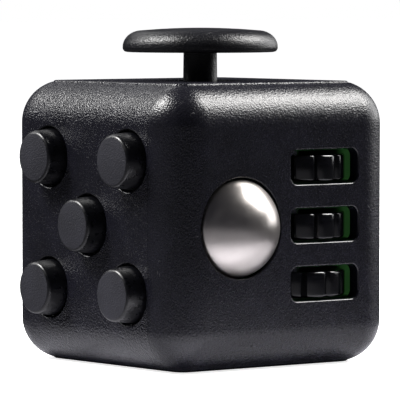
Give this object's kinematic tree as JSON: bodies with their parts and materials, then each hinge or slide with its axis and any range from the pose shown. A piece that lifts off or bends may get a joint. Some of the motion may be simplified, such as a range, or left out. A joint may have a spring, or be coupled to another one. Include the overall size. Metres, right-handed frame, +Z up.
{
  "type": "fidget cube",
  "caption": "Rounded desk fidget cube with sprung click buttons, a roller ball with toothed wheels, a joystick, a rocker switch, a dial and a thumb dish.",
  "frame": {"origin": "centre of the face that the cube rests on (the middle of the bottom cover's flat rim)", "axes": "+Z up to the joystick, -X the face with the buttons, -Y the face with the ball and the wheels, +X the rocker switch, +Y the dial, -Z the thumb dish"},
  "size_m": [0.037, 0.0398, 0.0392],
  "materials": {
    "shell": "fine spark-eroded grain, semi-matt bluish black",
    "buttons": "fine grain, matt black",
    "controls": "satin black",
    "rubber": "matt black, soft touch",
    "wheels": "glossy black",
    "green_housing": "satin dark green",
    "inner_plastic": "natural grey moulding",
    "ball_steel": "polished steel",
    "fasteners": "zinc plated",
    "spring_steel": "drawn wire"
  },
  "bodies": {
    "case": {"main_shell": "shell", "front_shell": "shell", "top_cover": "shell", "bottom_cover": "shell", "button_retainer": "inner_plastic", "retainer_screw_top": "fasteners", "retainer_screw_bottom": "fasteners", "button_spring_centre": "spring_steel", "button_spring_top_front": "spring_steel", "button_spring_top_back": "spring_steel", "button_spring_bottom_front": "spring_steel", "button_spring_bottom_back": "spring_steel", "roll_housing": "green_housing", "wheel_axle": "fasteners", "housing_screw_top": "fasteners", "housing_screw_bottom": "fasteners", "ball_spring": "spring_steel", "joystick_base": "inner_plastic", "base_screw_right": "fasteners", "base_screw_left": "fasteners", "centring_spring": "spring_steel", "rocker_bracket": "inner_plastic", "rocker_pin": "fasteners", "rocker_click_spring": "spring_steel", "bracket_screw_top": "fasteners", "bracket_screw_bottom": "fasteners", "dial_click_spring": "spring_steel"},
    "button_centre": {"button_centre": "buttons"},
    "button_top_front": {"button_top_front": "buttons"},
    "button_top_back": {"button_top_back": "buttons"},
    "button_bottom_front": {"button_bottom_front": "buttons"},
    "button_bottom_back": {"button_bottom_back": "buttons"},
    "ball_cup": {"ball_cup": "inner_plastic"},
    "ball": {"ball": "ball_steel"},
    "wheel_top": {"wheel_top": "wheels"},
    "wheel_middle": {"wheel_middle": "wheels"},
    "wheel_bottom": {"wheel_bottom": "wheels"},
    "gimbal_ring": {"gimbal_ring": "inner_plastic"},
    "joystick": {"joystick_stem": "controls", "joystick_cap": "rubber", "joystick_cross_pin": "fasteners"},
    "rocker": {"rocker": "controls"},
    "dial": {"dial": "controls", "dial_detent_wheel": "inner_plastic", "dial_screw": "fasteners"}
  },
  "joints": [
    {"name": "button_press_centre", "type": "slide", "parent": "case", "child": "button_centre", "axis": [1, 0, 0], "range_m": [0, 0.0013], "stiffness_N_per_m": 450, "springref_m": -0.001, "deforming": ["button_spring_centre"]},
    {"name": "button_press_top_front", "type": "slide", "parent": "case", "child": "button_top_front", "axis": [1, 0, 0], "range_m": [0, 0.0013], "stiffness_N_per_m": 450, "springref_m": -0.001, "deforming": ["button_spring_top_front"]},
    {"name": "button_press_top_back", "type": "slide", "parent": "case", "child": "button_top_back", "axis": [1, 0, 0], "range_m": [0, 0.0013], "stiffness_N_per_m": 450, "springref_m": -0.001, "deforming": ["button_spring_top_back"]},
    {"name": "button_press_bottom_front", "type": "slide", "parent": "case", "child": "button_bottom_front", "axis": [1, 0, 0], "range_m": [0, 0.0013], "stiffness_N_per_m": 450, "springref_m": -0.001, "deforming": ["button_spring_bottom_front"]},
    {"name": "button_press_bottom_back", "type": "slide", "parent": "case", "child": "button_bottom_back", "axis": [1, 0, 0], "range_m": [0, 0.0013], "stiffness_N_per_m": 450, "springref_m": -0.001, "deforming": ["button_spring_bottom_back"]},
    {"name": "ball_press", "type": "slide", "parent": "case", "child": "ball_cup", "axis": [0, 1, 0], "range_m": [0, 0.0012], "stiffness_N_per_m": 600, "springref_m": -0.001, "deforming": ["ball_spring"]},
    {"name": "ball_roll", "type": "hinge", "parent": "ball_cup", "child": "ball", "pos_m": [-0.0068, -0.0139, 0.0165], "axis": [1, 0, 0], "continuous": true},
    {"name": "wheel_spin_top", "type": "hinge", "parent": "case", "child": "wheel_top", "pos_m": [0.0055, -0.0105, 0.02326], "axis": [0, 0, 1], "continuous": true},
    {"name": "wheel_spin_middle", "type": "hinge", "parent": "case", "child": "wheel_middle", "pos_m": [0.0055, -0.0105, 0.0165], "axis": [0, 0, 1], "continuous": true},
    {"name": "wheel_spin_bottom", "type": "hinge", "parent": "case", "child": "wheel_bottom", "pos_m": [0.0055, -0.0105, 0.00974], "axis": [0, 0, 1], "continuous": true},
    {"name": "joystick_tilt_forward", "type": "hinge", "parent": "case", "child": "gimbal_ring", "pos_m": [0, 0, 0.029], "axis": [1, 0, 0], "range_deg": [-10, 10], "stiffness_Nm_per_rad": 0.03, "deforming": ["centring_spring"]},
    {"name": "joystick_tilt_sideways", "type": "hinge", "parent": "gimbal_ring", "child": "joystick", "pos_m": [0, 0, 0.029], "axis": [0, 1, 0], "range_deg": [-10, 10], "stiffness_Nm_per_rad": 0.03},
    {"name": "rocker_flip", "type": "hinge", "parent": "case", "child": "rocker", "pos_m": [0.0144, 0, 0.0165], "axis": [0, -1, 0], "range_deg": [0, 16]},
    {"name": "dial_spin", "type": "hinge", "parent": "case", "child": "dial", "pos_m": [0, 0.017, 0.0165], "axis": [0, 1, 0], "continuous": true}
  ]
}
